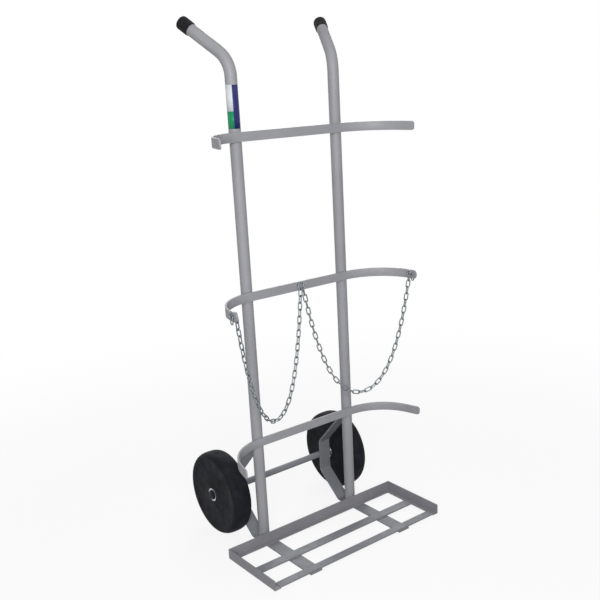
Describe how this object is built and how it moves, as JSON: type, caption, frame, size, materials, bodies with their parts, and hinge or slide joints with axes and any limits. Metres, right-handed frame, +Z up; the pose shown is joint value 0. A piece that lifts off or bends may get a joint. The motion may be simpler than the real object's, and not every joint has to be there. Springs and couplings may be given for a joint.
{
  "type": "gas cylinder cart",
  "caption": "Wheeled trolley for gas cylinders: bent tube uprights with splayed handles, flat-bar cradles with restraint chains, an angle-iron toe frame and solid rubber wheels on an axle.",
  "frame": {"origin": "on the floor, at the middle of the footprint from the toe frame's front to the back of the tyres", "axes": "+Z up; -Y towards the toe frame and the gas cylinders, +Y towards the wheels and handles; +X to the cart's right seen from the cylinders' side"},
  "size_m": [0.6442, 0.5184, 1.48],
  "materials": {
    "frame_paint": "satin grey paint",
    "base_paint": "satin grey paint",
    "black_plastic": "matte black",
    "wheel_rubber": "matte black solid rubber",
    "zinc_chain": "zinc plated",
    "bright_steel": "bright turned steel"
  },
  "bodies": {
    "cart_frame": {"left_upright": "frame_paint", "right_upright": "frame_paint", "left_grip_cap": "black_plastic", "right_grip_cap": "black_plastic", "top_bar": "frame_paint", "middle_bar": "frame_paint", "bottom_bar": "frame_paint", "chain_eye": "zinc_chain", "left_hook_links": "zinc_chain", "right_hook_links": "zinc_chain", "left_axle_strap": "base_paint", "right_axle_strap": "base_paint", "axle": "base_paint", "left_washer": "bright_steel", "right_washer": "bright_steel", "left_axle_cap": "black_plastic", "right_axle_cap": "black_plastic", "back_rail": "base_paint", "left_side_rail": "base_paint", "right_side_rail": "base_paint", "mid_rail": "base_paint", "front_rail": "base_paint"},
    "left_wheel": {"left_tyre": "wheel_rubber", "left_hub_sleeve": "bright_steel", "left_bush": "black_plastic"},
    "right_wheel": {"right_tyre": "wheel_rubber", "right_hub_sleeve": "bright_steel", "right_bush": "black_plastic"},
    "left_restraint": {"left_chain": "zinc_chain"},
    "right_restraint": {"right_chain": "zinc_chain"}
  },
  "joints": [
    {"name": "left_wheel_spin", "type": "hinge", "parent": "cart_frame", "child": "left_wheel", "pos_m": [-0.2225, 0.13175, 0.1275], "axis": [1, 0, 0], "continuous": true},
    {"name": "right_wheel_spin", "type": "hinge", "parent": "cart_frame", "child": "right_wheel", "pos_m": [0.2225, 0.13175, 0.1275], "axis": [1, 0, 0], "continuous": true},
    {"name": "left_chain_swing", "type": "hinge", "parent": "cart_frame", "child": "left_restraint", "pos_m": [-0.005, -0.0321, 0.74313], "axis": [-0.9224, -0.3852, 0.0292], "range_deg": [-8, 10]},
    {"name": "right_chain_swing", "type": "hinge", "parent": "cart_frame", "child": "right_restraint", "pos_m": [0.005, -0.0321, 0.74313], "axis": [-0.9224, 0.3852, -0.0292], "range_deg": [-8, 10]}
  ]
}
